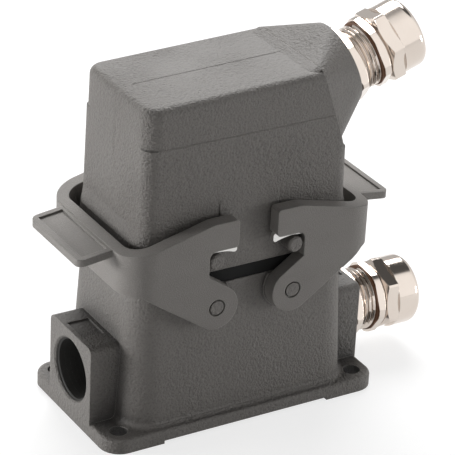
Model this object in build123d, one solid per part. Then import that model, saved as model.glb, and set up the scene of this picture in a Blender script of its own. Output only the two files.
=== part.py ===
from build123d import *
import os
from math import atan, cos, degrees, radians, sin, sqrt, tan

os.makedirs("parts", exist_ok=True)

# A rectangular power connector: a surface housing screwed to a panel, a hood on top of it,
# two locking levers that hook the hood down, a cable gland in each, and the two contact
# inserts mated inside. Millimetres; +X runs along the long side to the glands, +Y away from
# the front, +Z up. The origin is the middle of the four panel screws, on the panel.

# Base flange, cast with the housing
base_length = 94.0
base_width = 52.0
base_thickness = 4.5
base_corner = 6.5
base_edge = 1.2
foot_length = 18.5
foot_relief = 1.0
bolt_edge = 6.0
bolt_hole = 5.5

# Housing box, drafted inwards towards its rim
rim_z = 47.1
base_lip_x = 10.9
base_lip_y = 5.2
housing_draft = 3.2
housing_corner = 7.6
housing_wall = 3.0
housing_floor = 3.2
root_fillet = 2.0

# Cable entries at both ends of the housing
entry_corner_gap = 0.3
entry_height = 13.1
entry_edge = 2.2
entry_axis_z = 16.5
entry_bore = 18.5
entry_mouth = 20.9
label_length = 7.0
label_width = 10.0
label_depth = 0.5

# Pivots of the levers on the housing
pivot_x = 13.0
pivot_drop = 4.5
pivot_pin = 4.4
pivot_pad = 15.0
pin_play = 0.08
pin_sink = 5.4
pin_sink_depth = 0.8
side_play = 0.25

# Frame seal on the housing rim
seal_height = 5.0
seal_width = 3.0
seal_inset = 0.4
seal_lip_width = 1.2
seal_lip_depth = 1.4
seal_lip_play = 0.1

# Hood: collar, flare, body and top
collar_lip_x = 0.9
collar_lip_y = 0.8
collar_draft = 0.8
collar_height = 11.5
collar_corner = 8.0
flare_height = 5.6
flare_steps = (0.0, 0.2, 0.5, 1.0)
flare_power = 3
body_step_x = 2.4
body_step_y = 1.0
body_corner = 4.0
body_draft_x = 0.4
body_draft_y = 1.0
top_corner = 5.2
hood_height = 55.0
top_rise = 1.5
top_edge = 2.4
top_split_drop = 13.4
hood_wall = 2.8
panel_half_width = 10.0
panel_height = 12.6

# Locking pegs, cast on the hood
peg_offset = 0.4
peg_height = 5.3
peg = 5.0
peg_inset = 0.2
peg_edge = 0.5

# Angled cable boss of the hood
boss_tilt = 18.5
boss_reach = 7.2
boss_drop = 8.4
boss_rim = 26.2
boss_rim_lift = 2.0
boss_rim_seam = 0.02
boss_length = 13.9
boss_root_lift = 0.6
boss_root_width = 39.0
boss_root_height = 29.2
boss_root_top_corner = 4.0
boss_root_low_corner = 8.0

# Locking levers
lever_overhang = 0.6
lever_arm = 4.4
lever_lobe = 7.0
lever_strap_angle = 34.5
lever_clearance = 5.4
lever_end_wall = 3.2
lever_outer_corner = 9.5
lever_inner_corner = 6.0
lever_end_height = 12.4
lever_crest = 6.8
lever_rise = 6.6
crest_bend = 8.0
hook_tip_x = 6.6
hook_gap = 4.0
hook_tip_corner = 1.2
hook_top_corner = 1.0
hook_flat_end_x = 14.9
notch_corner = 2.2
peg_play = 0.3

# Grip tab on each lever
tab_length = 10.8
tab_half_width = 15.6
tab_thickness = 2.3
tab_fall = 1.6
tab_corner = 2.5
tab_frame = 1.9
tab_root_frame = 0.95
tab_recess = 0.6

# Steel hook inserts in the lever arms
slot_width = 1.8
slot_front_wall = 1.5
slot_top_wall = 1.4
hook_plate = 1.6
hook_plate_end_x = 21.5
hook_plate_play = 0.1
hook_plate_tip = 0.4
hook_plate_corner = 0.8
hook_plate_fall = 2.7
hook_plate_nose = 2.6

# Cable glands, both alike, measured outwards from the boss face
gland_stem_depth = 10.0
gland_play = 0.1
gland_thread = 20.0
locknut_across = 21.6
locknut_corner = 24.2
locknut_height = 3.8
gland_free_thread = 5.3
gland_thread_root = 18.4
washer_height = 0.5
washer_outer = 20.8
gland_across = 20.8
gland_corner = 22.4
hex_bevel = 30.0
hex_face_inset = 0.3
gland_hex_height = 2.8
cap_gap = 0.4
cap_corner = 23.6
cap_hex_height = 4.5
cap_dome_height = 8.3
cap_dome = 22.2
cap_dome_edge = 2.4
cap_thread = 18.0
cap_thread_length = 6.0
cap_mouth = 13.4
cap_lip = 1.0
gland_bore = 13.2
gland_socket = 16.8
gland_wall_end = 1.2
cage_wall = 1.1
cage_finger_length = 2.8
cage_finger_inset = 0.8
cage_slot = 1.2
cage_fingers = 8
sleeve_bore = 9.0
lower_cap_turn = 22.5
lower_hex_turn = 5.0
upper_cap_turn = -14.0
upper_hex_turn = 12.0

# Contact inserts
insert_gap_x = 0.4
insert_gap_y = 0.8
insert_flange_thickness = 4.0
insert_ledge_x = 7.9
insert_ledge_y = 5.0
insert_depth = 18.0
insert_corner = 2.0
insert_flange_corner = 4.5
female_flange_drop = 4.1
nose_step_x = 0.5
nose_step_y = 2.0
female_nose_height = 11.0
flange_spacing = 15.0
mating_gap = 0.5
skirt_play = 0.6
skirt_wall = 2.2
skirt_depth = 7.0
fixing_edge_x = 2.9
fixing_edge_y = 3.5
fixing_screw = 4.0
fixing_head = 6.6
fixing_head_height = 2.4
fixing_length = 11.0
fixing_end_gap = 1.0
screw_play = 0.1
pillar_inset_x = 4.4
pillar_inset_y = 4.0
pillar_depth = 20.0

# Contacts and their screws
contact_columns = 5
contact_pitch = 9.0
contact_row_y = 5.5
contact_barrel = 4.4
contact_pin = 2.5
contact_pin_reach = 12.0
contact_play = 0.05
contact_wire_bore = 2.8
contact_wire_depth = 9.0
contact_end_gap = 1.5
contact_mouth = 3.4
contact_mouth_depth = 1.0
terminal_screw = 3.0
terminal_screw_drop = 9.0
screw_slot = 0.8
screw_slot_depth = 0.9

# Earth brackets at the end of each insert
earth_plate = 1.2
earth_half_width = 5.0
earth_foot = 7.0
earth_leg = 11.0
earth_screw = 3.6
earth_head = 6.4
earth_head_height = 2.0
earth_screw_length = 5.0
earth_end_gap = 1.0

# Places that follow from the sizes above
foot_half_length = base_length / 2
foot_inner_x = foot_half_length - foot_length
bolt_pitch_x = base_length - 2 * bolt_edge
bolt_pitch_y = base_width - 2 * bolt_edge
rim_half_length = foot_half_length - base_lip_x
rim_half_width = base_width / 2 - base_lip_y
entry_half_width = rim_half_width - housing_corner - entry_corner_gap
entry_top_z = entry_axis_z + entry_height
pivot_z = rim_z - pivot_drop
hood_z = rim_z + seal_height
collar_half_length = rim_half_length + collar_lip_x
collar_half_width = rim_half_width + collar_lip_y
collar_top_z = hood_z + collar_height
body_half_length = collar_half_length - body_step_x
body_half_width = collar_half_width - body_step_y
top_half_length = body_half_length - body_draft_x
top_half_width = body_half_width - body_draft_y
top_z = hood_z + hood_height
top_split_z = top_z - top_split_drop
boss_face_x = body_half_length + boss_reach
boss_face_z = top_z - boss_drop
lever_outer_y = base_width / 2 + lever_overhang
peg_x = pivot_x + peg_offset
peg_z = hood_z + peg_height
peg_reach = lever_outer_y - peg_inset
lever_end_x = collar_half_length + lever_clearance
tab_end_x = lever_end_x + tab_length
lever_top_z = collar_top_z + lever_rise
lever_end_high_z = lever_top_z - lever_crest
lever_end_low_z = lever_end_high_z - lever_end_height
hook_under_z = peg_z + hook_gap
insert_flange_half_length = body_half_length - hood_wall - insert_gap_x
insert_flange_half_width = body_half_width - hood_wall - insert_gap_y
insert_half_length = insert_flange_half_length - insert_ledge_x
insert_half_width = insert_flange_half_width - insert_ledge_y
female_flange_top_z = rim_z - female_flange_drop
female_nose_half_length = insert_half_length - nose_step_x
female_nose_half_width = insert_half_width - nose_step_y
male_flange_z = female_flange_top_z + flange_spacing
fixing_pitch_x = 2 * (insert_flange_half_length - fixing_edge_x)
fixing_pitch_y = 2 * (insert_flange_half_width - fixing_edge_y)
lever_inner_y = lever_outer_y - lever_arm
pad_face_y = lever_inner_y - side_play
peg_path = sqrt((peg_x - pivot_x) ** 2 + (peg_z - pivot_z) ** 2)
hook_radius = peg_path + peg / 2 + peg_play
seat_z = female_flange_top_z - insert_flange_thickness
male_seat_z = male_flange_z + insert_flange_thickness
female_nose_z = female_flange_top_z + female_nose_height
male_nose_z = female_nose_z + mating_gap
washer_station = locknut_height + gland_free_thread
hex_station = washer_station + washer_height
cap_station = hex_station + gland_hex_height + cap_gap
boss_axis = (cos(radians(boss_tilt)), 0, sin(radians(boss_tilt)))
lower_gland_place = Plane(origin=(foot_half_length, 0, entry_axis_z), x_dir=(0, 1, 0), z_dir=(1, 0, 0))
upper_gland_place = Plane(origin=(boss_face_x, 0, boss_face_z), x_dir=(0, 1, 0), z_dir=boss_axis)


def rounded(half_length, half_width, corner, z):
    """A rounded rectangle at height z."""
    return Pos(0, 0, z) * RectangleRounded(2 * half_length, 2 * half_width, corner)


def block(low, high, corners, z_low, z_high):
    """A drafted block between two rounded rectangles, each given by its half sides."""
    sections = [rounded(*low, corners[0], z_low), rounded(*high, corners[1], z_high)]
    return loft(sections, ruled=True)


def cylinder(diameter, start, end):
    """A round bar on the Z axis from start to end."""
    return Pos(0, 0, start) * extrude(Circle(diameter / 2), end - start)


def bar(diameter, place, start, end):
    """A round bar on the axis of a place."""
    return place * cylinder(diameter, start, end)


def at_corners(shape, pitch_x, pitch_y):
    """The shape copied to the four corners of a rectangle."""
    return [Pos(*spot.position) * shape for spot in GridLocations(pitch_x, pitch_y, 2, 2)]


def joined(shapes):
    """Several shapes fused into one."""
    shapes = list(shapes)
    return shapes[0].fuse(*shapes[1:]) if len(shapes) > 1 else shapes[0]


def housing_half(z):
    """Half sides of the housing box at a height, from its draft."""
    spread = (rim_z - z) * tan(radians(housing_draft))
    return rim_half_length + spread, rim_half_width + spread


def inner_half(z):
    """Half sides of the space inside the housing at a height."""
    half_length, half_width = housing_half(z)
    return half_length - housing_wall, half_width - housing_wall


def body_half(z):
    """Half sides of the hood's body at a height, from its draft."""
    share = (z - collar_top_z) / (top_z - collar_top_z)
    half_length = body_half_length + (top_half_length - body_half_length) * share
    half_width = body_half_width + (top_half_width - body_half_width) * share
    return half_length, half_width


def shrunk(half_sides, wall):
    """Half sides less a wall all round."""
    return half_sides[0] - wall, half_sides[1] - wall


def base_flange():
    """The flange with its four screw holes and a shallow relief between its two feet."""
    plate = extrude(RectangleRounded(base_length, base_width, base_corner), base_thickness)
    plate = fillet(plate.faces().sort_by(Axis.Z)[-1].edges(), base_edge)
    relief = Box(2 * foot_inner_x, base_width, foot_relief, align=(Align.CENTER, Align.CENTER, Align.MIN))
    holes = at_corners(cylinder(bolt_hole, 0, base_thickness), bolt_pitch_x, bolt_pitch_y)
    return plate - relief, holes


def cable_entry():
    """The block round the right hand cable entry, with the bare label pocket in its top."""
    outline = Pos(0, entry_top_z / 2) * Rectangle(2 * entry_half_width, entry_top_z)
    outline = fillet(outline.vertices().group_by(Axis.Y)[-1], entry_edge)
    start_x = inner_half(entry_axis_z)[0]
    place = Plane(origin=(start_x, 0, 0), x_dir=(0, 1, 0), z_dir=(1, 0, 0))
    entry = place * extrude(outline, foot_half_length - start_x)
    label_x = (housing_half(entry_top_z)[0] + foot_half_length) / 2
    label = Pos(label_x, 0, entry_top_z) * Box(label_length, label_width, 2 * label_depth)
    return entry - label


def entry_cut():
    """The bore of a cable entry with its countersunk mouth, on the right."""
    depth = foot_half_length - inner_half(entry_axis_z)[0]
    sink = (entry_mouth - entry_bore) / 2
    mouth = lower_gland_place * Pos(0, 0, -sink / 2) * Cone(entry_bore / 2, entry_mouth / 2, sink)
    return [bar(entry_bore, lower_gland_place, -depth, 0), mouth]


def pillars(outer, z_low, z_high):
    """The four cast pillars in the corners that take the screws of an insert."""
    x = fixing_pitch_x / 2 - pillar_inset_x
    y = fixing_pitch_y / 2 - pillar_inset_y
    size_x = rim_half_length - x
    size_y = rim_half_width - y
    foot = (Align.CENTER, Align.CENTER, Align.MIN)
    pillar = Pos(0, 0, z_low) * Box(size_x, size_y, z_high - z_low, align=foot)
    grouped = joined(at_corners(pillar, 2 * x + size_x, 2 * y + size_y))
    return grouped & outer


def pivots(reach):
    """The pads and pins of the four lever pivots, out to a distance from the middle."""
    foot = (Align.CENTER, Align.CENTER, Align.MIN)
    below_rim = Box(base_length, 2 * reach, rim_z, align=foot)
    across = []
    for x in (-pivot_x, pivot_x):
        place = Plane.XZ * Pos(x, pivot_z, 0)
        across.append(place * cylinder(pivot_pin, -reach, reach))
        across.append((place * cylinder(pivot_pad, -pad_face_y, pad_face_y)) & below_rim)
    return across


def housing():
    """The die cast housing: drafted box on its flange, cable entries, pivots and pillars."""
    flange, holes = base_flange()
    low = housing_half(base_thickness)
    rim = (rim_half_length, rim_half_width)
    corner_low = housing_corner + low[0] - rim_half_length
    box = block(low, rim, (corner_low, housing_corner), base_thickness, rim_z)
    shell = flange + box
    root = [e for e in shell.edges() if abs(e.center().Z - base_thickness) < 0.01]
    root = [e for e in root if abs(e.center().X) < low[0] + 0.1 and abs(e.center().Y) < low[1] + 0.1]
    shell = fillet(root, root_fillet)
    right = cable_entry()
    shell = shell.fuse(right, mirror(right, Plane.YZ), *pivots(lever_outer_y))
    inner_corner = housing_corner - housing_wall
    floor_half = inner_half(housing_floor)
    inside = block(floor_half, inner_half(rim_z), (inner_corner, inner_corner), housing_floor, rim_z)
    shell = shell.cut(inside)
    shell = shell.fuse(pillars(box, housing_floor, seat_z))
    cuts = entry_cut()
    cuts = cuts + [mirror(cut, Plane.YZ) for cut in cuts]
    depth = seat_z - fixing_length
    screw_holes = at_corners(
        cylinder(fixing_screw + 2 * screw_play, depth, seat_z), fixing_pitch_x, fixing_pitch_y
    )
    return shell.cut(*cuts, *screw_holes, *holes)


def housing_seal():
    """The rubber frame on the rim: a square bead with a lip that hangs inside the rim."""
    bead = shrunk((rim_half_length, rim_half_width), seal_inset)
    hole = shrunk(bead, seal_width)
    corner = housing_corner - seal_inset
    ring = block(bead, bead, (corner, corner), rim_z, hood_z)
    lip_half = shrunk(inner_half(rim_z), seal_lip_play)
    lip_corner = housing_corner - housing_wall
    lip = block(lip_half, lip_half, (lip_corner, lip_corner), rim_z - seal_lip_depth, rim_z)
    opening = shrunk(lip_half, seal_lip_width)
    hole = (min(hole[0], opening[0]), min(hole[1], opening[1]))
    cut = block(hole, hole, (lip_corner, lip_corner), rim_z - seal_lip_depth, hood_z)
    return (ring + lip) - cut


def hood_flare():
    """The hollow curve between the collar and the body of the hood."""
    collar = shrunk((collar_half_length, collar_half_width), collar_draft / 2)
    sections = []
    for step in flare_steps:
        z = collar_top_z + step * flare_height
        side = body_half(z)
        spread = (1 - step) ** flare_power
        half_length = side[0] + (collar[0] - side[0]) * spread
        half_width = side[1] + (collar[1] - side[1]) * spread
        corner = body_corner + (collar_corner - body_corner) * spread
        sections.append(rounded(half_length, half_width, corner, z))
    return loft(sections, ruled=False)


def hood_panel():
    """The flat panel that bridges the flare in the middle of each long side."""
    face_y = collar_half_width - collar_draft / 2
    end_z = collar_top_z + panel_height
    end_y = body_half(end_z)[1]
    core_y = end_y - hood_wall / 2
    points = [(face_y, collar_top_z), (end_y, end_z), (core_y, end_z), (core_y, collar_top_z)]
    wedge = Plane.YZ * make_face(Polyline(*points, close=True))
    front = extrude(wedge, panel_half_width, both=True)
    return [front, mirror(front, Plane.XZ)]


def hood_boss():
    """The angled boss, from the section of the hood to the round face of the cable entry."""
    root = Rectangle(boss_root_width, boss_root_height)
    high = root.vertices().group_by(Axis.Y)[-1]
    root = fillet(high, boss_root_top_corner)
    low = [corner for corner in root.vertices() if corner.Y < 1 - boss_root_height / 2]
    root = fillet(low, boss_root_low_corner)
    root = upper_gland_place * Pos(0, boss_root_lift, -boss_length) * root
    face = RectangleRounded(boss_rim, boss_rim, boss_rim / 2 - boss_rim_seam)
    return loft([root, upper_gland_place * Pos(0, boss_rim_lift, 0) * face], ruled=True)


def boss_clearing():
    """What the boss replaces: the corner of the body beyond the boss's root."""
    size = 4 * boss_root_height
    low = boss_root_lift - boss_root_height / 2
    corner = (Align.CENTER, Align.MIN, Align.MIN)
    return upper_gland_place * Pos(0, low, -boss_length) * Box(size, size, size, align=corner)


def hood():
    """The die cast hood with its collar, locking pegs, angled boss and inner pillars."""
    low = (collar_half_length, collar_half_width)
    high = shrunk(low, collar_draft / 2)
    collar = block(low, high, (collar_corner, collar_corner), hood_z, collar_top_z)
    split = body_half(top_split_z)
    lower = block(body_half(collar_top_z), split, (body_corner, body_corner), collar_top_z, top_split_z)
    rise = 2 * body_half_length * tan(radians(top_rise))
    above = body_half(top_z + rise)
    upper = block(split, above, (top_corner, top_corner), top_split_z, top_z + rise)
    foot = (Align.CENTER, Align.CENTER, Align.MIN)
    over = Box(3 * top_half_length, 3 * top_half_width, 2 * rise, align=foot)
    upper = upper - Pos(0, 0, top_z) * Rot(0, -top_rise, 0) * over
    upper = fillet(upper.faces().sort_by(Axis.Z)[-1].edges(), top_edge)
    body = (lower + upper) - boss_clearing()
    shell = collar.fuse(hood_flare(), body, hood_boss(), *hood_panel())
    for x in (-peg_x, peg_x):
        pin = cylinder(peg, -peg_reach, peg_reach)
        pin = chamfer(pin.edges(), peg_edge)
        shell = shell.fuse(Plane.XZ * Pos(x, peg_z, 0) * pin)
    roof = top_z - rise / 2 - hood_wall
    corner = body_corner - hood_wall
    space_low = shrunk(body_half(hood_z), hood_wall)
    space_high = shrunk(body_half(roof), hood_wall)
    space = block(space_low, space_high, (corner, corner), hood_z, roof)
    shell = shell.cut(space)
    solid_body = block(body_half(hood_z), body_half(top_z), (body_corner, body_corner), hood_z, top_z)
    shell = shell.fuse(pillars(solid_body, male_seat_z, male_seat_z + pillar_depth))
    bore = bar(entry_bore, upper_gland_place, -boss_length - hood_wall, 0)
    screw_holes = at_corners(
        cylinder(fixing_screw + 2 * screw_play, male_seat_z, male_seat_z + fixing_length),
        fixing_pitch_x,
        fixing_pitch_y,
    )
    return shell.cut(bore, *screw_holes)


def lever_side():
    """The side outline of the right lever: lobe, strap, notch, hook and falling top."""
    slope = radians(lever_strap_angle)
    low_tangent = (pivot_x + lever_lobe * sin(slope), pivot_z - lever_lobe * cos(slope))
    high_tangent = (pivot_x - lever_lobe * sin(slope), pivot_z + lever_lobe * cos(slope))
    far_side = (pivot_x - lever_lobe * cos(slope), pivot_z - lever_lobe * sin(slope))
    wall_x = peg_x + peg / 2 + peg_play
    wall_low = (wall_x, high_tangent[1] + (wall_x - high_tangent[0]) * tan(slope))
    bend_x = low_tangent[0] + (lever_end_low_z - low_tangent[1]) / tan(slope)
    crest = (hook_flat_end_x, lever_top_z)
    notch_bend = notch_corner * (1 - sqrt(0.5))
    tip_bend = hook_tip_corner * (1 - sqrt(0.5))
    heel_bend = hook_top_corner * (1 - sqrt(0.5))
    edges = [
        ThreePointArc(high_tangent, far_side, low_tangent),
        Line(low_tangent, (bend_x, lever_end_low_z)),
        Line((bend_x, lever_end_low_z), (lever_end_x, lever_end_low_z)),
        Line((lever_end_x, lever_end_low_z), (lever_end_x, lever_end_high_z)),
        Line((lever_end_x, lever_end_high_z), crest),
        Line(crest, (hook_tip_x + hook_top_corner, lever_top_z)),
        ThreePointArc(
            (hook_tip_x + hook_top_corner, lever_top_z),
            (hook_tip_x + heel_bend, lever_top_z - heel_bend),
            (hook_tip_x, lever_top_z - hook_top_corner),
        ),
        Line((hook_tip_x, lever_top_z - hook_top_corner), (hook_tip_x, hook_under_z + hook_tip_corner)),
        ThreePointArc(
            (hook_tip_x, hook_under_z + hook_tip_corner),
            (hook_tip_x + tip_bend, hook_under_z + tip_bend),
            (hook_tip_x + hook_tip_corner, hook_under_z),
        ),
        Line((hook_tip_x + hook_tip_corner, hook_under_z), (wall_x - notch_corner, hook_under_z)),
        ThreePointArc(
            (wall_x - notch_corner, hook_under_z),
            (wall_x - notch_bend, hook_under_z - notch_bend),
            (wall_x, hook_under_z - notch_corner),
        ),
        Line((wall_x, hook_under_z - notch_corner), wall_low),
        Line(wall_low, high_tangent),
    ]
    outline = make_face(Curve() + edges)
    outline = fillet(outline.vertices().sort_by_distance(crest)[0], crest_bend)
    return Plane.XZ * outline


def lever_plan():
    """The lever from above: two arms and the end wall that joins them round the hood."""
    outer = Pos(lever_end_x / 2, 0) * Rectangle(lever_end_x, 2 * lever_outer_y)
    outer = fillet(outer.vertices().group_by(Axis.X)[-1], lever_outer_corner)
    inner_x = lever_end_x - lever_end_wall
    inner = Pos(inner_x / 2, 0) * Rectangle(inner_x, 2 * lever_inner_y)
    inner = fillet(inner.vertices().group_by(Axis.X)[-1], lever_inner_corner)
    return outer - inner


def lever_tab():
    """The grip tab: a plate that leaves the end wall and falls a little, with a sunk top."""
    root_x = lever_end_x - lever_end_wall / 2
    run = tab_end_x - root_x
    top = lever_end_high_z
    points = [
        (root_x, top),
        (tab_end_x, top - tab_fall),
        (tab_end_x, top - tab_fall - tab_thickness),
        (root_x, top - tab_thickness),
    ]
    side = Plane.XZ * make_face(Polyline(*points, close=True))
    wedge = extrude(side, tab_half_width, both=True)
    plan = Pos((root_x + tab_end_x) / 2, 0) * Rectangle(run, 2 * tab_half_width)
    plan = fillet(plan.vertices().group_by(Axis.X)[-1], tab_corner)
    plate = wedge & extrude(plan, lever_top_z)
    sunk_length = tab_end_x - lever_end_x - tab_frame - tab_root_frame
    sunk_x = tab_end_x - tab_frame - sunk_length / 2
    tilt = degrees(atan(tab_fall / run))
    sunk_z = top - tab_fall * (sunk_x - root_x) / run
    sunk = Box(sunk_length, 2 * (tab_half_width - tab_frame), 2 * tab_recess)
    return plate, Pos(sunk_x, 0, sunk_z) * Rot(0, tilt, 0) * sunk


def hook_outline(play):
    """The steel hook insert seen from the side; play widens it into its slot."""
    inner = hook_radius - play
    end_x = hook_plate_end_x + play
    tip_x = hook_tip_x - hook_plate_tip - play
    top_z = lever_top_z - slot_top_wall + play

    def under(x):
        return pivot_z + sqrt(inner**2 - (x - pivot_x) ** 2)

    nose_z = under(tip_x) + hook_plate_nose + play
    nose_x = tip_x + top_z - nose_z
    edges = [
        ThreePointArc((tip_x, under(tip_x)), (pivot_x, under(pivot_x)), (end_x, under(end_x))),
        Polyline(
            (end_x, under(end_x)),
            (end_x, top_z - hook_plate_fall),
            (hook_flat_end_x, top_z),
            (nose_x, top_z),
            (tip_x, nose_z),
            (tip_x, under(tip_x)),
        ),
    ]
    return Plane.XZ * make_face(Curve() + edges)


def hook_insert(front):
    """One steel hook insert of the right lever, in its front or its back arm."""
    middle_y = lever_outer_y - slot_front_wall - slot_width / 2
    plate = extrude(hook_outline(0), hook_plate / 2, both=True)
    tip = plate.edges().filter_by(Axis.Y).sort_by(Axis.X)[:2]
    plate = fillet(tip, hook_plate_corner)
    return Pos(0, -middle_y if front else middle_y, 0) * plate


def lever():
    """The right lever, moulded in one piece, with a slot in each hook for its insert."""
    body = extrude(lever_side(), lever_outer_y, both=True) & extrude(lever_plan(), lever_top_z)
    plate, sunk = lever_tab()
    body = body.fuse(plate).cut(sunk)
    middle_y = lever_outer_y - slot_front_wall - slot_width / 2
    slot = extrude(hook_outline(hook_plate_play), slot_width / 2, both=True)
    entry = Box(hook_tip_x, slot_width, lever_top_z - slot_top_wall - pivot_z - lever_lobe)
    entry = Pos(hook_tip_x / 2, 0, pivot_z + lever_lobe + entry.bounding_box().size.Z / 2) * entry
    slots = [Pos(0, y, 0) * part for y in (-middle_y, middle_y) for part in (slot, entry)]
    hole = Plane.XZ * Pos(pivot_x, pivot_z, 0)
    hole = hole * cylinder(pivot_pin + 2 * pin_play, -lever_outer_y, lever_outer_y)
    sink = bar(pin_sink, Plane.XZ * Pos(pivot_x, pivot_z, 0), lever_outer_y - pin_sink_depth, lever_outer_y)
    return body.cut(hole, sink, mirror(sink, Plane.XZ), *slots)


def hexagon(across, corner, height, turn, low_bevel, high_bevel):
    """A hexagonal nut: the corners turned down to a diameter, and bevelled at the ends asked for."""
    prism = extrude(RegularPolygon(across / 2, 6, major_radius=False, rotation=turn), height)
    face = across / 2 - hex_face_inset
    bevel = (corner / 2 - face) * tan(radians(hex_bevel))
    low = [(face, 0), (corner / 2, bevel)] if low_bevel else [(corner / 2, 0)]
    high = [(corner / 2, height - bevel), (face, height)] if high_bevel else [(corner / 2, height)]
    points = [(0, 0), *low, *high, (0, height)]
    turned = revolve(Plane.XZ * make_face(Polyline(*points, close=True)), Axis.Z)
    return prism & turned


def gland_locknut(turn):
    """The hexagonal locknut that clamps the gland to the boss."""
    nut = hexagon(locknut_across, locknut_corner, locknut_height, turn, True, True)
    return nut - cylinder(gland_thread + 2 * gland_play, 0, locknut_height)


def gland_body(turn):
    """The gland body: stem in the boss, free thread, thin hexagon and the thread of the cap."""
    hex_end = hex_station + gland_hex_height
    body = cylinder(entry_bore - 2 * gland_play, -gland_stem_depth, 0)
    body = body + cylinder(gland_thread, 0, locknut_height)
    body = body + cylinder(gland_thread_root, locknut_height, hex_station)
    grip = hexagon(gland_across, gland_corner, gland_hex_height, turn, False, True)
    body = body + Pos(0, 0, hex_station) * grip
    body = body + cylinder(cap_thread, hex_end, hex_end + cap_thread_length)
    socket_floor = hex_end - gland_wall_end
    body = body - cylinder(gland_bore, -gland_stem_depth, hex_end)
    return body - cylinder(gland_socket, socket_floor, hex_end + cap_thread_length)


def gland_washer():
    """The brown sealing ring between the free thread and the thin hexagon."""
    ring = cylinder(washer_outer, 0, washer_height) - cylinder(
        gland_thread_root + 2 * gland_play, 0, washer_height
    )
    return Pos(0, 0, washer_station) * ring


def gland_cage():
    """The clamping cage: a ring in the socket with fingers that the cap presses inwards."""
    floor = hex_station + gland_hex_height - gland_wall_end + gland_play
    shoulder = floor + gland_wall_end + cap_thread_length - 2 * gland_play
    outer = gland_socket - 2 * gland_play
    tip = shoulder + cage_finger_length
    cage = cylinder(outer, floor, shoulder) + cylinder(outer - 2 * cage_finger_inset, shoulder, tip)
    bore = outer - 2 * cage_wall
    cage = cage - cylinder(bore - 2 * gland_play, floor, tip)
    slot_box = Box(outer, cage_slot, cage_finger_length, align=(Align.CENTER, Align.CENTER, Align.MIN))
    slots = [
        Rot(0, 0, 360 / cage_fingers * index) * Pos(0, 0, shoulder) * slot_box
        for index in range(cage_fingers // 2)
    ]
    return cage.cut(*slots)


def gland_sleeve():
    """The rubber sleeve in the cage that closes on the cable."""
    floor = hex_station + gland_hex_height - gland_wall_end + gland_play
    length = gland_wall_end + cap_thread_length + cage_finger_length
    outer = gland_socket - 2 * cage_wall - 6 * gland_play
    sleeve = cylinder(outer, floor, floor + length)
    return sleeve - cylinder(sleeve_bore, floor, floor + length)


def gland_cap(turn):
    """The cap nut: hexagon, round dome and a bore that narrows to press on the cage."""
    height = cap_hex_height + cap_dome_height
    dome = cylinder(cap_dome, cap_hex_height, height)
    dome = fillet(dome.faces().sort_by(Axis.Z)[-1].edges(), cap_dome_edge)
    cap = dome + hexagon(gland_across, cap_corner, cap_hex_height, turn, True, False)
    bore = cap_thread / 2 + gland_play
    taper_start = cap_thread_length + cap_gap
    points = [
        (0, 0),
        (bore, 0),
        (bore, taper_start),
        (bore - gland_play, taper_start),
        (cap_mouth / 2, height - cap_lip),
        (cap_mouth / 2, height),
        (0, height),
    ]
    hollow = revolve(Plane.XZ * make_face(Polyline(*points, close=True)), Axis.Z)
    return Pos(0, 0, cap_station) * (cap - hollow)


def contact_spots():
    """Places of the contacts, in two rows."""
    return [spot.position for spot in GridLocations(contact_pitch, 2 * contact_row_y, contact_columns, 2)]


def insert_cuts(z_wire, z_nose, z_screw, flange_low, flange_high):
    """What both inserts have cut out: contact bores, terminal screw bores, fixing holes."""
    cuts = []
    for spot in contact_spots():
        bore = cylinder(contact_barrel + 2 * contact_play, min(z_wire, z_nose), max(z_wire, z_nose))
        cuts.append(Pos(spot.X, spot.Y, 0) * bore)
    for x in sorted({round(spot.X, 6) for spot in contact_spots()}):
        tunnel = cylinder(terminal_screw + 2 * screw_play, -insert_half_width, insert_half_width)
        cuts.append(Plane.XZ * Pos(x, z_screw, 0) * tunnel)
    fixing = cylinder(fixing_screw + 4 * screw_play, flange_low, flange_high)
    return cuts + at_corners(fixing, fixing_pitch_x, fixing_pitch_y)


def earth_pocket(z_screw):
    """The hole in the end of an insert for the screw of its earth bracket."""
    place = Plane(origin=(insert_half_length, 0, z_screw), x_dir=(0, 1, 0), z_dir=(1, 0, 0))
    return bar(earth_screw + 2 * screw_play, place, -earth_screw_length, 0)


def female_insert():
    """The socket insert of the housing: flange, terminal block below and nose above."""
    side = (insert_half_length, insert_half_width)
    nose = (female_nose_half_length, female_nose_half_width)
    flange = (insert_flange_half_length, insert_flange_half_width)
    corners = (insert_corner, insert_corner)
    flange_corners = (insert_flange_corner, insert_flange_corner)
    low_z = seat_z - insert_depth
    shape = block(side, side, corners, low_z, seat_z)
    shape = shape + block(flange, flange, flange_corners, seat_z, female_flange_top_z)
    shape = shape + block(nose, nose, corners, female_flange_top_z, female_nose_z)
    top = female_nose_z - contact_mouth_depth
    cuts = insert_cuts(low_z, top, seat_z - terminal_screw_drop, seat_z, female_flange_top_z)
    for spot in contact_spots():
        cuts.append(Pos(spot.X, spot.Y, 0) * cylinder(contact_mouth, top, female_nose_z))
    return shape.cut(*cuts, earth_pocket(seat_z - earth_leg / 2))


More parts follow.
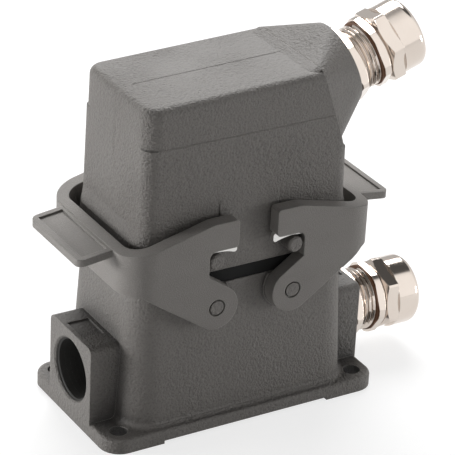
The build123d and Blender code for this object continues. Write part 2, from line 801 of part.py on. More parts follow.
def male_insert():
    """The pin insert of the hood: flange, terminal block above and a skirt round the pins."""
    side = (insert_half_length, insert_half_width)
    flange = (insert_flange_half_length, insert_flange_half_width)
    corners = (insert_corner, insert_corner)
    cavity = (female_nose_half_length + skirt_play, female_nose_half_width + skirt_play)
    skirt = (cavity[0] + skirt_wall, cavity[1] + skirt_wall)
    skirt_corners = (insert_corner + skirt_wall, insert_corner + skirt_wall)
    skirt_low = male_nose_z - skirt_depth
    top_z_block = male_seat_z + insert_depth
    shape = block(skirt, skirt, skirt_corners, skirt_low, male_flange_z)
    shape = shape - block(cavity, cavity, corners, skirt_low, male_nose_z)
    flange_corners = (insert_flange_corner, insert_flange_corner)
    shape = shape + block(flange, flange, flange_corners, male_flange_z, male_seat_z)
    shape = shape + block(side, side, corners, male_seat_z, top_z_block)
    z_screw = male_seat_z + terminal_screw_drop
    cuts = insert_cuts(male_nose_z, top_z_block, z_screw, male_flange_z, male_seat_z)
    return shape.cut(*cuts, earth_pocket(male_seat_z + earth_leg / 2))


def female_contact(spot):
    """One turned socket contact with a bore for the pin and a bore for the wire."""
    low_z = seat_z - insert_depth + contact_end_gap
    top = female_nose_z - contact_mouth_depth
    contact = cylinder(contact_barrel, low_z, top)
    pin_bore = cylinder(contact_pin + 2 * contact_play, top - contact_pin_reach, top)
    wire_bore = cylinder(contact_wire_bore, low_z, low_z + contact_wire_depth)
    return Pos(spot.X, spot.Y, 0) * contact.cut(pin_bore, wire_bore)


def male_contact(spot):
    """One turned pin contact."""
    high_z = male_seat_z + insert_depth - contact_end_gap
    tip_z = female_nose_z - contact_mouth_depth - contact_pin_reach + contact_end_gap
    pin = cylinder(contact_pin, tip_z, male_nose_z)
    pin = chamfer(pin.faces().sort_by(Axis.Z)[0].edges(), contact_pin / 4)
    wire_bore = cylinder(contact_wire_bore, high_z - contact_wire_depth, high_z)
    contact = pin + cylinder(contact_barrel, male_nose_z, high_z)
    return Pos(spot.X, spot.Y, 0) * (contact - wire_bore)


def terminal_screws(z_screw):
    """The ten slotted screws that clamp the wires, five on each long side of an insert."""
    inner_y = contact_row_y + contact_barrel / 2 + screw_play
    length = insert_half_width - inner_y
    screw = cylinder(terminal_screw, 0, length)
    slot = Pos(0, 0, length) * Box(terminal_screw, screw_slot, 2 * screw_slot_depth)
    screw = screw - slot
    front = Plane(origin=(0, -inner_y, z_screw), x_dir=(1, 0, 0), z_dir=(0, -1, 0))
    shapes = []
    for x in sorted({round(spot.X, 6) for spot in contact_spots()}):
        one = front * Pos(x, 0, 0) * screw
        shapes += [one, mirror(one, Plane.XZ)]
    return Compound(children=shapes)


def fixing_screws(head_z, direction):
    """The four screws that hold an insert; direction is the way the heads point."""
    shank_length = insert_flange_thickness + fixing_length - fixing_end_gap
    shank = cylinder(fixing_screw, -shank_length, 0)
    head = cylinder(fixing_head, 0, fixing_head_height)
    slot = Pos(0, 0, fixing_head_height) * Box(fixing_head, screw_slot, 2 * screw_slot_depth)
    screw = shank + head - slot
    place = Plane(origin=(0, 0, head_z), x_dir=(1, 0, 0), z_dir=(0, 0, direction))
    screws = [place * part for part in at_corners(screw, fixing_pitch_x, fixing_pitch_y)]
    return Compound(children=screws)


def earth_bracket(flange_z, direction):
    """The bent earth plate: a foot on the flange and a leg along the end of the block."""
    points = [
        (insert_half_length, flange_z),
        (insert_half_length + earth_foot, flange_z),
        (insert_half_length + earth_foot, flange_z + direction * earth_plate),
        (insert_half_length + earth_plate, flange_z + direction * earth_plate),
        (insert_half_length + earth_plate, flange_z + direction * earth_leg),
        (insert_half_length, flange_z + direction * earth_leg),
    ]
    bracket = extrude(Plane.XZ * make_face(Polyline(*points, close=True)), earth_half_width, both=True)
    z_screw = flange_z + direction * earth_leg / 2
    place = Plane(origin=(insert_half_length, 0, z_screw), x_dir=(0, 1, 0), z_dir=(1, 0, 0))
    return bracket - bar(earth_screw + 2 * screw_play, place, 0, earth_plate)


def earth_screw_in(flange_z, direction):
    """The screw that holds an earth bracket to its insert."""
    z_screw = flange_z + direction * earth_leg / 2
    place = Plane(origin=(insert_half_length, 0, z_screw), x_dir=(0, 1, 0), z_dir=(1, 0, 0))
    head_end = earth_plate + earth_head_height
    screw = cylinder(earth_screw, earth_end_gap - earth_screw_length, earth_plate)
    screw = screw + cylinder(earth_head, earth_plate, head_end)
    slot = Pos(0, 0, head_end) * Box(earth_head, screw_slot, 2 * screw_slot_depth)
    return place * (screw - slot)


pieces = {
    "housing": housing(),
    "housing_seal": housing_seal(),
    "hood": hood(),
    "lever_right": lever(),
    "female_insert": female_insert(),
    "male_insert": male_insert(),
    "female_fixing_screws": fixing_screws(female_flange_top_z, 1),
    "male_fixing_screws": fixing_screws(male_flange_z, -1),
    "female_terminal_screws": terminal_screws(seat_z - terminal_screw_drop),
    "male_terminal_screws": terminal_screws(male_seat_z + terminal_screw_drop),
    "female_earth_bracket": earth_bracket(seat_z, -1),
    "male_earth_bracket": earth_bracket(male_seat_z, 1),
    "female_earth_screw": earth_screw_in(seat_z, -1),
    "male_earth_screw": earth_screw_in(male_seat_z, 1),
}
pieces["lever_left"] = mirror(pieces["lever_right"], Plane.YZ)
for arm, front in (("front", True), ("back", False)):
    plate = hook_insert(front)
    pieces[f"hook_insert_right_{arm}"] = plate
    pieces[f"hook_insert_left_{arm}"] = mirror(plate, Plane.YZ)
for index, spot in enumerate(contact_spots(), start=1):
    pieces[f"female_contact_{index:02d}"] = female_contact(spot)
    pieces[f"male_contact_{index:02d}"] = male_contact(spot)
glands = (
    ("lower", lower_gland_place, lower_hex_turn, lower_cap_turn),
    ("upper", upper_gland_place, upper_hex_turn, upper_cap_turn),
)
for level, place, hex_turn, cap_turn in glands:
    pieces[f"{level}_gland_locknut"] = place * gland_locknut(hex_turn)
    pieces[f"{level}_gland_body"] = place * gland_body(hex_turn)
    pieces[f"{level}_gland_washer"] = place * gland_washer()
    pieces[f"{level}_gland_cage"] = place * gland_cage()
    pieces[f"{level}_gland_sleeve"] = place * gland_sleeve()
    pieces[f"{level}_gland_cap"] = place * gland_cap(cap_turn)

for node, piece in pieces.items():
    export_step(piece, f"parts/{node}.step")
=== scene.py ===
from math import cos, pi, radians, sin

import bmesh
import bpy
from mathutils import Matrix, Vector


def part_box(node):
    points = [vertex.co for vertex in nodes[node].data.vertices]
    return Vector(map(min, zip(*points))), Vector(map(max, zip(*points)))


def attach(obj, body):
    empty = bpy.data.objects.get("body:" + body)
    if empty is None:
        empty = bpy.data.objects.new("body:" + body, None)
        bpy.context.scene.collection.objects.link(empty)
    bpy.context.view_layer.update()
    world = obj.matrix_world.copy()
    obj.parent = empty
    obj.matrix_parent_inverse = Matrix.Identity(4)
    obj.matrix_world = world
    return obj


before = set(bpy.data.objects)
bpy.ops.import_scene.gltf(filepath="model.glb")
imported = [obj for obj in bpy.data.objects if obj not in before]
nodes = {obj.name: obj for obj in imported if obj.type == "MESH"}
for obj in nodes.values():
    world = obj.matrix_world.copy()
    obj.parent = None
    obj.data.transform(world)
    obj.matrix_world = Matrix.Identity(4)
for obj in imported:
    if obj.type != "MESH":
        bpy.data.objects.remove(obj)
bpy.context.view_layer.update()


# The housing is die cast aluminium with a dusty grey powder coat, baked on over the whole casting with
# a pebbled grain. Its colour has painted shade in corners and grain hollows and a painted highlight on
# sharp edges.


class Wire:
    """A socket of a node tree, so that shader maths is written as Python."""

    def __init__(self, wiring, socket):
        self.wiring = wiring
        self.socket = socket

    def math(self, operation, first, second):
        return self.wiring.add("ShaderNodeMath", {"operation": operation}, {0: first, 1: second})

    def __add__(self, other):
        return self.math("ADD", self, other)

    def __radd__(self, other):
        return self.math("ADD", other, self)

    def __sub__(self, other):
        return self.math("SUBTRACT", self, other)

    def __rsub__(self, other):
        return self.math("SUBTRACT", other, self)

    def __mul__(self, other):
        return self.math("MULTIPLY", self, other)

    def __rmul__(self, other):
        return self.math("MULTIPLY", other, self)

    def __pow__(self, other):
        return self.math("POWER", self, other)


class Wiring:
    """Adds nodes to a tree: a type, its settings, then the values or links of its sockets."""

    def __init__(self, tree):
        self.tree = tree

    def add(self, kind, settings=None, sockets=None, output=0):
        node = self.tree.nodes.new(kind)
        for name, value in (settings or {}).items():
            setattr(node, name, value)
        for name, value in (sockets or {}).items():
            if isinstance(value, Wire):
                self.tree.links.new(value.socket, node.inputs[name])
            else:
                node.inputs[name].default_value = value
        return Wire(self, node.outputs[output])


class Finish(Wiring):
    """A material with one Principled shader, and the patterns that its looks are made of."""

    def __init__(self, name, **even):
        self.material = bpy.data.materials.new(name)
        self.material.use_nodes = True
        super().__init__(self.material.node_tree)
        self.shader = self.tree.nodes["Principled BSDF"]
        for socket, value in even.items():
            self.shader.inputs[socket.replace("_", " ")].default_value = value
        self.place = self.add("ShaderNodeTexCoord", output="Object")

    def noise(self, size, detail=2.0, place=None):
        """A cloud pattern from 0 to 1 whose blobs are about size metres across."""
        sockets = {"Vector": place or self.place, "Scale": 1 / size, "Detail": detail}
        return self.add("ShaderNodeTexNoise", {}, sockets, "Fac")

    def stretched(self, x, y, z):
        """The place with each axis scaled, for brushed and turned marks."""
        return self.add("ShaderNodeMapping", {}, {"Vector": self.place, "Scale": (x, y, z)})

    def mixed(self, share, first, second):
        """A colour between two, by a share from 0 to 1."""
        settings = {"data_type": "RGBA", "clamp_factor": True}
        return self.add("ShaderNodeMix", settings, {0: share, 6: first, 7: second}, 2)

    def rounded_edges(self, radius):
        """The normal with every sharp edge softened to a radius."""
        return self.add("ShaderNodeBevel", {"samples": 6}, {"Radius": radius})

    def edge_share(self, rounded, gain):
        """1 on sharp edges and 0 on flat faces, from how far the softened normal turns."""
        flat = self.add("ShaderNodeNewGeometry", output="Normal")
        settings = {"operation": "DOT_PRODUCT"}
        along = self.add("ShaderNodeVectorMath", settings, {0: rounded, 1: flat}, "Value")
        return (1 - along) * gain

    def finish(self, colour, roughness, height=None, depth=0.0, normal=None):
        """Links colour, roughness and a bump of a depth in metres to the shader."""
        for name, value in (("Base Color", colour), ("Roughness", roughness)):
            if isinstance(value, Wire):
                self.tree.links.new(value.socket, self.shader.inputs[name])
            else:
                self.shader.inputs[name].default_value = value
        if height is not None:
            sockets = {"Strength": 1.0, "Distance": depth, "Height": height}
            if normal is not None:
                sockets["Normal"] = normal
            normal = self.add("ShaderNodeBump", {}, sockets)
        if normal is not None:
            self.tree.links.new(normal.socket, self.shader.inputs["Normal"])
        return self.material


def wear(node_names, material):
    """Gives CAD nodes their material."""
    for name in node_names:
        mesh = nodes[name].data
        mesh.materials.clear()
        mesh.materials.append(material)


def tinted(colour, factor):
    """A colour made darker or lighter, still opaque."""
    return [channel * factor for channel in colour[:3]] + [1]


coat_tone = (0.145, 0.134, 0.124, 1)
coat_dust = (0.174, 0.163, 0.15, 1)
coat_grain_shade = tinted(coat_tone, 0.68)
coat_corner_shade = tinted(coat_tone, 0.25)
coat_edge_highlight = tinted(coat_dust, 2.0)
bore_shade_tone = (0.022, 0.021, 0.019, 1)
corner_shade_reach = 0.02
coat_relief = 0.0006


def powder_coat(name, bore_shade=None):
    """Grey textured coat: grain coarser in places, painted shade in corners and grain hollows, painted
    edge highlights, painted shade in a bore.
    """
    coat = Finish(name, IOR=1.55)
    sand = coat.noise(size=0.0006)
    peel = coat.noise(size=0.0011, detail=1.0)
    clouds = coat.noise(size=0.018, detail=3.0)
    coarse = coat.noise(size=0.025, detail=1.0) ** 2 * 2.6 + 0.35
    soft = coat.rounded_edges(radius=0.0005)
    edge = coat.edge_share(soft, gain=2.2)
    nearby = {"samples": 8, "only_local": True}
    reach = {"Distance": corner_shade_reach}
    # Painted shade: the colour darkens in corners and under overhangs, where nearby faces close round a
    # point.
    open_share = coat.add("ShaderNodeAmbientOcclusion", nearby, reach, "AO")
    shade = coat.mixed(clouds * 0.9, coat_tone, coat_dust)
    # Painted shade in the grain: the colour darkens where the grain's bump is low.
    shade = coat.mixed((0.55 - sand) * 3.0, shade, coat_grain_shade)
    shade = coat.mixed((0.88 - open_share) * 2.4, shade, coat_corner_shade)
    # Painted highlight: sharp edges are drawn lighter.
    shade = coat.mixed(edge * 0.6, shade, coat_edge_highlight)
    relief = (sand * 0.6 + peel * 0.5) * coarse
    if bore_shade is not None:
        axis_z, wall_radius, fade = bore_shade
        centred = {"Vector": coat.place, "Location": (0, 0, -axis_z), "Scale": (0, 1, 1)}
        off_axis = coat.add("ShaderNodeMapping", {}, centred)
        radius = coat.add("ShaderNodeVectorMath", {"operation": "LENGTH"}, {0: off_axis}, "Value")
        limits = {"From Min": wall_radius, "From Max": wall_radius + fade, "To Min": 1.0, "To Max": 0.0}
        inside = coat.add("ShaderNodeMapRange", {}, {"Value": radius, **limits})
        # Painted shade: inside the bore's wall the colour turns nearly black and the grain is left out.
        shade = coat.mixed(inside, shade, bore_shade_tone)
        relief = relief * (1 - inside)
    return coat.finish(shade, 0.5 + sand * 0.2, relief, coat_relief, soft)


powder_grey = powder_coat("powder_coat_grey")


# The left cable entry is tapped for an M20 gland. Its wall and the first turns of its thread are
# drawn nearly black: painted shade for the dark inside of the deep bore.

entry_axis_z = 0.0165
entry_bore_radius = 0.00925
shade_over_wall = 0.0003
shade_fade = 0.0004
bore_shade_place = (entry_axis_z, entry_bore_radius + shade_over_wall, shade_fade)
housing_grey = powder_coat("housing_coat_grey", bore_shade_place)
wear(["housing"], housing_grey)

thread_pitch = 0.0015
entry_thread_turns = 5.0
entry_thread_inset = 0.002
entry_ridge = 0.00025
entry_ridge_over_wall = 0.0002


def new_tree(name, inputs):
    """An empty geometry tree with named inputs, and those inputs as wires."""
    tree = bpy.data.node_groups.new(name, "GeometryNodeTree")
    tree.interface.new_socket("Geometry", in_out="OUTPUT", socket_type="NodeSocketGeometry")
    for label, kind in inputs.items():
        tree.interface.new_socket(label, in_out="INPUT", socket_type=f"NodeSocket{kind}")
    wiring = Wiring(tree)
    given = tree.nodes.new("NodeGroupInput")
    return wiring, {socket.name: Wire(wiring, socket) for socket in given.outputs if socket.name}


def swept(wiring, curve, radius, sides):
    """A closed bar of a few sides along a curve."""
    section = {"Resolution": sides, "Radius": radius}
    profile = wiring.add("GeometryNodeCurvePrimitiveCircle", {}, section)
    sockets = {"Curve": curve, "Profile Curve": profile, "Fill Caps": True}
    return wiring.add("GeometryNodeCurveToMesh", {}, sockets)


def ended(wiring, shape, material):
    """The tree with its shape made real and given its material."""
    real = wiring.add("GeometryNodeRealizeInstances", {}, {"Geometry": shape})
    sockets = {"Geometry": real, "Material": material}
    coloured = wiring.add("GeometryNodeSetMaterial", {}, sockets)
    result = wiring.tree.nodes.new("NodeGroupOutput")
    wiring.tree.links.new(coloured.socket, result.inputs[0])
    return wiring.tree


def thread_tree():
    """Geometry nodes that wind a ridge round Z and set it on any axis."""
    numbers = dict.fromkeys(("Radius", "Pitch", "Turns", "Ridge"), "Float")
    inputs = {**numbers, "Start": "Vector", "Turn": "Vector", "Metal": "Material"}
    wiring, asked = new_tree("thread_ridge", inputs)
    helix = {
        "Resolution": 40,
        "Rotations": asked["Turns"],
        "Start Radius": asked["Radius"],
        "End Radius": asked["Radius"],
        "Height": asked["Pitch"] * asked["Turns"],
    }
    spiral = wiring.add("GeometryNodeCurveSpiral", {}, helix)
    upright = wiring.add("GeometryNodeSetCurveNormal", {"mode": "Z_UP"}, {"Curve": spiral})
    ridge = swept(wiring, upright, asked["Ridge"], sides=4)
    place = {"Geometry": ridge, "Translation": asked["Start"], "Rotation": asked["Turn"]}
    turned = wiring.add("GeometryNodeTransform", {}, place)
    flat = {"Geometry": turned, "Shade Smooth": False}
    crisp = wiring.add("GeometryNodeSetShadeSmooth", {}, flat)
    return ended(wiring, crisp, asked["Metal"])


ridge_tree = thread_tree()


def grown(name, tree, source=None, **values):
    """A plain mesh piece made by a geometry tree, with its inputs set by name."""
    carrier = bpy.data.objects.new(name, source or bpy.data.meshes.new(name))
    bpy.context.scene.collection.objects.link(carrier)
    modifier = carrier.modifiers.new("grow", "NODES")
    modifier.node_group = tree
    for item in tree.interface.items_tree:
        if item.in_out == "INPUT" and item.name in values:
            modifier[item.identifier] = values[item.name]
    shown = carrier.evaluated_get(bpy.context.evaluated_depsgraph_get())
    mesh = bpy.data.meshes.new_from_object(shown)
    mesh.name = name
    carrier.modifiers.clear()
    carrier.data = mesh
    return carrier


housing_low, housing_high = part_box("housing")
entry_thread = grown(
    "entry_thread",
    ridge_tree,
    Radius=entry_bore_radius + entry_ridge_over_wall,
    Pitch=thread_pitch,
    Turns=entry_thread_turns,
    Ridge=entry_ridge,
    Start=Vector((housing_low.x + entry_thread_inset, 0, entry_axis_z)),
    Turn=(0, pi / 2, 0),
    Metal=housing_grey,
)
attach(entry_thread, "connector")


# The frame seal is a black nitrile rubber moulding that sits on the housing's rim and is pressed
# by the hood. It has a dull skin with a little talc on it, and so have the sleeves of the glands.

rubber_black = (0.006, 0.006, 0.006, 1)
rubber_talc = (0.014, 0.014, 0.013, 1)
rubber = Finish("black_rubber", IOR=1.3)
talc = rubber.noise(size=0.004, detail=3.0)
rubber_tone = rubber.mixed(talc * 0.5, rubber_black, rubber_talc)
rubber_grain = rubber.noise(size=0.0006)
black_rubber = rubber.finish(rubber_tone, 0.7 + talc * 0.2, rubber_grain, depth=0.00003)
wear(["housing_seal", "lower_gland_sleeve", "upper_gland_sleeve"], black_rubber)


# The two contact inserts are moulded in light grey glass-filled polycarbonate. They are screwed to
# the pillars in the housing and in the hood, and mate inside when the hood is closed.

insert_dark = (0.5, 0.5, 0.46, 1)
insert_light = (0.62, 0.62, 0.58, 1)
moulding = Finish("insert_polycarbonate")
fibres = moulding.noise(size=0.0015, detail=4.0, place=moulding.stretched(1.0, 1.0, 3.0))
insert_tone = moulding.mixed(fibres * 0.6, insert_dark, insert_light)
insert_grey = moulding.finish(insert_tone, 0.4 + fibres * 0.15, fibres, depth=0.00004)
wear(["female_insert", "male_insert"], insert_grey)


# Contacts are turned from brass rod and silver plated, so they are bright with fine turning rings.
# Each is pressed into its bore from the wiring side.

silver_bright = (0.86, 0.84, 0.78, 1)
silver_tarnish = (0.6, 0.54, 0.42, 1)
silver = Finish("silver_plated_brass", Metallic=1.0)
rings = silver.noise(size=0.0004, place=silver.stretched(0.1, 0.1, 3.0))
tarnish = silver.noise(size=0.003, detail=3.0)
silver_tone = silver.mixed(tarnish * 0.6, silver_bright, silver_tarnish)
silver_plate = silver.finish(silver_tone, 0.18 + tarnish * 0.2, rings, depth=0.00002)
wear([name for name in nodes if "_contact_" in name], silver_plate)


# Terminal screws, fixing screws and the bent earth plates are zinc plated steel, dull and a
# little blotchy from the plating bath.

zinc_dull = (0.5, 0.5, 0.48, 1)
zinc_bright = (0.72, 0.72, 0.7, 1)
zinc = Finish("zinc_plated_steel", Metallic=1.0)
spangle = zinc.noise(size=0.002, detail=3.0)
zinc_tone = zinc.mixed(spangle * 0.8, zinc_dull, zinc_bright)
zinc_plate = zinc.finish(zinc_tone, 0.28 + spangle * 0.2, spangle, depth=0.00003)
wear([name for name in nodes if "screw" in name or "bracket" in name], zinc_plate)


# The hood is cast and coated as the housing is. Where the die halves met, a fine raised line is
# left along the roof, down the left end, on each long side and along both feet of the housing.

wear(["hood"], powder_grey)

line_width = 0.0001
end_line_width = 0.00004
roof_line_start_x = -0.0259
roof_line_end_x = 0.0155
roof_skin_z = 0.1035
end_line_low_z = 0.0765
end_line_high_z = 0.1015
left_skin_x = -0.033
split_line_z = 0.0937
split_line_start_x = -0.0275
split_line_end_x = 0.0278
side_skin_y = 0.0185
foot_line_z = 0.0052
foot_line_half_x = 0.031
foot_skin_y = 0.0225


def section_edges(name, node_name, point, normal, kept):
    """The edges where a plane cuts a casting's skin, as a mesh of edges alone."""
    cut = bmesh.new()
    cut.from_mesh(nodes[node_name].data)
    bmesh.ops.remove_doubles(cut, verts=cut.verts, dist=1e-6)
    everything = cut.verts[:] + cut.edges[:] + cut.faces[:]
    made = bmesh.ops.bisect_plane(cut, geom=everything, plane_co=point, plane_no=normal)["geom_cut"]
    lines = [e for e in made if isinstance(e, bmesh.types.BMEdge)]
    lines = [e for e in lines if kept((e.verts[0].co + e.verts[1].co) / 2)]
    outline = bmesh.new()
    twins = {}
    for line in lines:
        ends = []
        for corner in line.verts:
            if corner not in twins:
                twins[corner] = outline.verts.new(corner.co)
            ends.append(twins[corner])
        if outline.edges.get(ends) is None:
            outline.edges.new(ends)
    mesh = bpy.data.meshes.new(name)
    outline.to_mesh(mesh)
    cut.free()
    outline.free()
    return mesh


def line_tree():
    """Geometry nodes that turn edges into a fine raised bead."""
    inputs = {"Geometry": "Geometry", "Width": "Float", "Coat": "Material"}
    wiring, asked = new_tree("parting_bead", inputs)
    curve = wiring.add("GeometryNodeMeshToCurve", {}, {"Mesh": asked["Geometry"]})
    return ended(wiring, swept(wiring, curve, asked["Width"], sides=6), asked["Coat"])


bead_tree = line_tree()


def on_roof_line(p):
    """True along the middle of the roof."""
    return p.z > roof_skin_z and roof_line_start_x < p.x < roof_line_end_x


def on_end_line(p):
    """True down the left end, above the collar."""
    return p.x < left_skin_x and end_line_low_z < p.z < end_line_high_z


def on_split_line(p):
    """True on the front and the back, from the corner to the boss."""
    return split_line_start_x < p.x < split_line_end_x and abs(p.y) > side_skin_y


def on_foot_line(p):
    """True where the housing's long walls run into the flange."""
    return abs(p.x) < foot_line_half_x and abs(p.y) > foot_skin_y


middle, across, level = Vector((0, 0, 0)), Vector((0, 1, 0)), Vector((0, 0, 1))
roof_edges = section_edges("roof_edges", "hood", middle, across, on_roof_line)
end_edges = section_edges("end_edges", "hood", middle, across, on_end_line)
split_edges = section_edges("split_edges", "hood", level * split_line_z, level, on_split_line)
foot_edges = section_edges("foot_edges", "housing", level * foot_line_z, level, on_foot_line)
for name, edges, width in (
    ("parting_line_roof", roof_edges, line_width),
    ("parting_line_end", end_edges, end_line_width),
    ("parting_line_split", split_edges, line_width),
    ("parting_line_foot", foot_edges, line_width),
):
    bead = grown(name, bead_tree, edges, Width=width, Coat=powder_grey)
    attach(bead, "connector")


# The root of the upper cable boss runs out on the roof in a short ramp, as the pattern maker blends
# it. The ramp carries on the root's upper outline until it is under the roof.

root_edge = Vector((0.0238, 0, 0.1087))
boss_tilt = radians(18.5)
boss_axis = Vector((cos(boss_tilt), 0, sin(boss_tilt)))
on_root_plane = 2e-5
over_roof_z = 0.1078
ramp_length = 0.0042
ramp_depth = 0.0014
ramp_slope = Vector((0.01321, 0, 0.00432)).normalized()
rim = {}
for vertex in nodes["hood"].data.vertices:
    off_plane = abs((vertex.co - root_edge).dot(boss_axis))
    if off_plane < on_root_plane and vertex.co.z > over_roof_z:
        rim[round(vertex.co.y, 6)] = vertex.co.copy()
rim = [rim[y] for y in sorted(rim)]
tips = [corner - ramp_slope * ramp_length for corner in rim]
bases = [corner - Vector((0, 0, ramp_depth)) for corner in rim]
count = len(rim)
faces = []
for i in range(count - 1):
    ring = [i, i + count, i + 2 * count]
    for here, there in zip(ring, ring[1:] + ring[:1]):
        faces.append((here, here + 1, there + 1, there))
faces += [(0, count, 2 * count), (count - 1, 3 * count - 1, 2 * count - 1)]
ramp_mesh = bpy.data.meshes.new("boss_ramp")
ramp_mesh.from_pydata(rim + tips + bases, [], faces)
ramp_mesh.materials.append(powder_grey)
ramp = bpy.data.objects.new("boss_ramp", ramp_mesh)
bpy.context.scene.collection.objects.link(ramp)
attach(ramp, "connector")


# The two locking levers are moulded in grey glass-filled nylon. They are smoother and a little
# paler than the castings, with a fine spark-eroded grain and pale flecks, and painted highlights on
# their edges.

nylon_grey = (0.23, 0.216, 0.205, 1)
nylon_pale = (0.275, 0.26, 0.245, 1)
nylon_highlight_and_fleck = (0.42, 0.41, 0.38, 1)
nylon = Finish("lever_nylon", IOR=1.3)
speck = nylon.noise(size=0.00035)
flow = nylon.noise(size=0.012, detail=3.0, place=nylon.stretched(1.0, 1.0, 2.0))
lever_soft = nylon.rounded_edges(radius=0.0005)
lever_edge = nylon.edge_share(lever_soft, gain=2.0)
lever_tone = nylon.mixed(flow * 0.7, nylon_grey, nylon_pale)
# Painted highlight along the edges, mixed with random pale flecks of the nylon.
highlight_and_fleck_share = lever_edge * 0.9 + (speck - 0.45) * 0.9
lever_tone = nylon.mixed(highlight_and_fleck_share, lever_tone, nylon_highlight_and_fleck)
lever_grey = nylon.finish(lever_tone, 0.5 + speck * 0.15, speck, depth=0.0002, normal=lever_soft)
wear(["lever_right", "lever_left"], lever_grey)


# Each hook carries a blanked stainless steel insert in its slot. It takes the wear of the peg,
# so its faces are brushed and bright.

steel_dark = (0.55, 0.54, 0.52, 1)
steel_bright = (0.75, 0.74, 0.72, 1)
steel = Finish("brushed_stainless", Metallic=1.0)
brush = steel.noise(size=0.0004, place=steel.stretched(0.15, 1.0, 2.5))
steel_tone = steel.mixed(brush * 0.7, steel_dark, steel_bright)
stainless = steel.finish(steel_tone, 0.25 + brush * 0.2, brush, depth=0.00002)
wear([name for name in nodes if name.startswith("hook_insert")], stainless)


# The glands are turned and milled from hexagon brass and bright nickel plated. The plate is warm
# and mirror-like, a little hazy in places, and the threads behind the caps stand free.

nickel_bright = (0.69, 0.62, 0.56, 1)
nickel_warm = (0.6, 0.52, 0.46, 1)
plate = Finish("bright_nickel", Metallic=1.0)
haze = plate.noise(size=0.006, detail=3.0)
pits = plate.noise(size=0.0009)
nickel_soft = plate.rounded_edges(radius=0.00025)
nickel_tone = plate.mixed(haze * 0.6, nickel_bright, nickel_warm)
nickel = plate.finish(nickel_tone, 0.07 + haze * 0.1, pits, depth=0.000006, normal=nickel_soft)
for level_name in ("lower", "upper"):
    wear([f"{level_name}_gland_{piece}" for piece in ("locknut", "body", "cap")], nickel)

lower_face = Vector((0.047, 0, entry_axis_z))
upper_face = Vector((0.0418, 0, 0.0987))
locknut_end = 0.0038
free_thread_length = 0.0053
free_thread_radius = 0.0094
free_thread_ridge = 0.0006
for level_name, face, tilt in (("lower", lower_face, 0.0), ("upper", upper_face, boss_tilt)):
    axis = Vector((cos(tilt), 0, sin(tilt)))
    free_thread = grown(
        f"{level_name}_free_thread",
        ridge_tree,
        Radius=free_thread_radius,
        Pitch=thread_pitch,
        Turns=free_thread_length / thread_pitch,
        Ridge=free_thread_ridge,
        Start=face + axis * locknut_end,
        Turn=(0, pi / 2 - tilt, 0),
        Metal=nickel,
    )
    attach(free_thread, "connector")


# Between the gland's thread and its thin hexagon sits a brown sealing washer. The clamping cage
# inside is white nylon, and its fingers show a little in the cap's mouth.

fibre_brown = (0.09, 0.035, 0.014, 1)
fibre_light = (0.2, 0.09, 0.04, 1)
fibre = Finish("brown_washer")
washer_fleck = fibre.noise(size=0.0012, detail=3.0)
washer_tone = fibre.mixed(washer_fleck, fibre_brown, fibre_light)
brown_washer = fibre.finish(washer_tone, 0.6, washer_fleck, depth=0.00004)
wear(["lower_gland_washer", "upper_gland_washer"], brown_washer)

cage_dull = (0.62, 0.61, 0.55, 1)
cage_white = (0.72, 0.71, 0.66, 1)
cage = Finish("cage_nylon")
cage_fleck = cage.noise(size=0.002)
cage_tone = cage.mixed(cage_fleck, cage_dull, cage_white)
white_nylon = cage.finish(cage_tone, 0.45, cage_fleck, depth=0.00003)
wear(["lower_gland_cage", "upper_gland_cage"], white_nylon)


# The floor is a plain pale sheet of paper, and isn't part of the object. What sees it directly or
# in a mirror sees it white, and it still takes the object's shadow.

floor_half = 6.0
paper_lit = (0.8, 0.8, 0.8, 1)
paper_seen = (0.3, 0.3, 0.3, 1)
no_glow = (0, 0, 0, 1)
seen_glow = (0.75, 0.75, 0.75, 1)
floor_mesh = bpy.data.meshes.new("floor")
corners = [(-1, -1, 0), (1, -1, 0), (1, 1, 0), (-1, 1, 0)]
corners = [Vector(corner) * floor_half for corner in corners]
floor_mesh.from_pydata(corners, [], [(0, 1, 2, 3)])
floor = bpy.data.objects.new("floor", floor_mesh)
bpy.context.scene.collection.objects.link(floor)


def ray_share(wiring, kind):
    """1 for rays of a kind, and 0 for others."""
    return wiring.add("ShaderNodeLightPath", output=f"Is {kind} Ray")


paper = Finish("floor_paper", Emission_Strength=1.0)
seen = ray_share(paper, "Camera") + ray_share(paper, "Glossy") + ray_share(paper, "Transmission")
paper_tone = paper.mixed(seen, paper_lit, paper_seen)
paper_glow = paper.mixed(seen, no_glow, seen_glow)
paper.tree.links.new(paper_glow.socket, paper.shader.inputs["Emission Color"])
floor_mesh.materials.append(paper.finish(paper_tone, 0.9))


# The studio's sky is white where the camera looks past the object. It lights the object less from
# the front left, and metal mirrors it with a dark patch overhead and a brighter front.

ambient = 0.45
dark_side = Vector((-0.5, -0.8, 0.35)).normalized()
dark_side_light = 0.14
dark_patch = Vector((0.47, 0.21, 0.86)).normalized()
dark_patch_light = 0.1
front_side = Vector((0, -1, 0))
rear_light = 0.6
front_light = 1.3

world = bpy.data.worlds.new("studio")
bpy.context.scene.world = world
world.use_nodes = True
air = Wiring(world.node_tree)
background = world.node_tree.nodes["Background"]
background.inputs["Color"].default_value = (1, 1, 1, 1)
direction = air.add("ShaderNodeTexCoord", output="Generated")


def towards(side, start, end, before, after, interpolation="SMOOTHSTEP"):
    """A light level that changes as the direction turns towards a side."""
    settings = {"operation": "DOT_PRODUCT"}
    facing = air.add("ShaderNodeVectorMath", settings, {0: direction, 1: side}, "Value")
    limits = {"From Min": start, "From Max": end, "To Min": before, "To Max": after}
    settings = {"interpolation_type": interpolation}
    return air.add("ShaderNodeMapRange", settings, {"Value": facing, **limits})


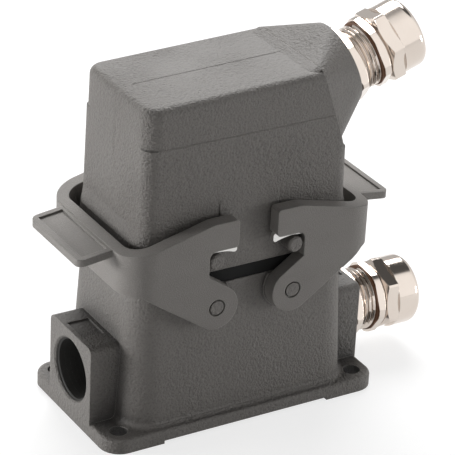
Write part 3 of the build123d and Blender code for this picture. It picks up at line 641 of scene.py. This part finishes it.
shade = towards(dark_side, 0.0, 0.75, 1.0, dark_side_light)
patch_shade = towards(dark_patch, 0.89, 0.95, 1.0, dark_patch_light)
front_shade = towards(front_side, -0.6, 0.4, rear_light, front_light, "LINEAR")
mirrored_shade = front_shade * patch_shade
camera_ray = ray_share(air, "Camera")
mirrored = ray_share(air, "Glossy") + ray_share(air, "Transmission")
lit = shade * ambient * (1 - mirrored) + mirrored_shade * mirrored
strength = camera_ray + lit * (1 - camera_ray)
air.tree.links.new(strength.socket, background.inputs["Strength"])


# Three square soft boxes stand round the object: the key above and behind it on the right, and a
# weak one low on each side.

lamp_target = Vector((0.0, 0.0, 0.05))


def soft_box(name, place, size, watts):
    """A square lamp at a place that points at the object."""
    data = bpy.data.lights.new(name, "AREA")
    data.size = size
    data.energy = watts
    lamp = bpy.data.objects.new(name, data)
    bpy.context.scene.collection.objects.link(lamp)
    lamp.location = place
    lamp.rotation_euler = (lamp_target - Vector(place)).to_track_quat("-Z", "Y").to_euler()


soft_box("key", place=(0.3, 0.6, 0.75), size=0.6, watts=10.0)
soft_box("left_fill", place=(-0.9, 0.4, 0.1), size=0.3, watts=7.6)
soft_box("right_fill", place=(0.8, -0.55, 0.05), size=0.3, watts=2.6)


# The camera stands where the photograph was taken from, front left and a little above. Its place
# and lens were fitted to the corners, holes and pins of the object.

azimuth = radians(-31.865)
elevation = radians(27.173)
roll = radians(2.98)
distance = 0.781467
aim = Vector((0.005679, 0, 0.052562))
focal_pixels = 2591.682
image_pixels = 455
sensor_width = 36.0

back = Vector((sin(azimuth) * cos(elevation), -cos(azimuth) * cos(elevation), sin(elevation)))
level_right = Vector((cos(azimuth), sin(azimuth), 0))
level_up = back.cross(level_right)
right = level_right * cos(roll) + level_up * sin(roll)
up = back.cross(right)
camera_data = bpy.data.cameras.new("camera")
camera_data.sensor_width = sensor_width
camera_data.lens = focal_pixels / image_pixels * sensor_width
camera = bpy.data.objects.new("camera", camera_data)
bpy.context.scene.collection.objects.link(camera)
turned = Matrix((right, up, back)).transposed().to_4x4()
camera.matrix_world = Matrix.Translation(aim + back * distance) @ turned
bpy.context.scene.camera = camera
bpy.context.scene.view_settings.view_transform = "Standard"
